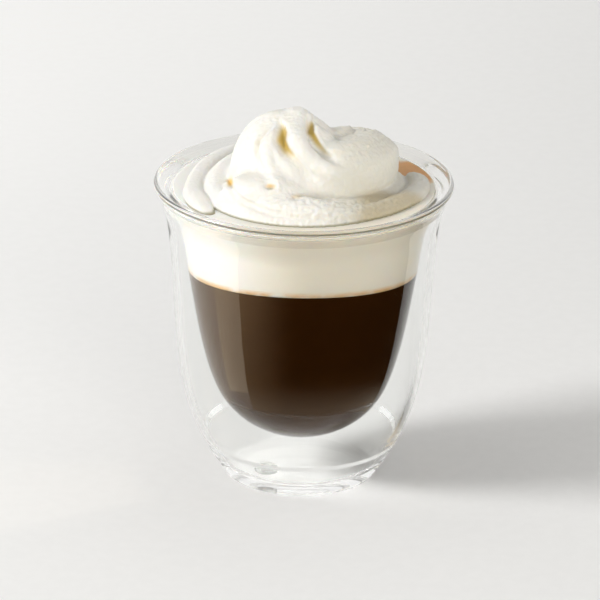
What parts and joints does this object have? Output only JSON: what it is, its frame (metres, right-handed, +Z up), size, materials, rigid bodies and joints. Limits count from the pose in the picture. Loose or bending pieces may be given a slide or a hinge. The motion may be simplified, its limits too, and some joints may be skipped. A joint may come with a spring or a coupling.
{
  "type": "espresso con panna",
  "caption": "Espresso under a layer of soft cream and a piped swirl of whipped cream, in a small double-walled glass with a flared lip.",
  "frame": {"origin": "centre of the foot, on the surface that the glass stands on", "axes": "+Z up along the glass's axis, -Y towards the viewer of the picture, +X to the viewer's right"},
  "size_m": [0.07, 0.07, 0.0914],
  "materials": {
    "clear_glass": "clear and polished",
    "seal_glass": "melted and slightly cloudy",
    "espresso": "wet and glossy",
    "cream_layer": "smooth and creamy",
    "whipped_cream": "soft and matt"
  },
  "bodies": {
    "root": {"glass": "clear_glass", "vent_seal": "seal_glass", "espresso": "espresso", "cream_layer": "cream_layer", "whipped_cream": "whipped_cream"}
  },
  "joints": []
}
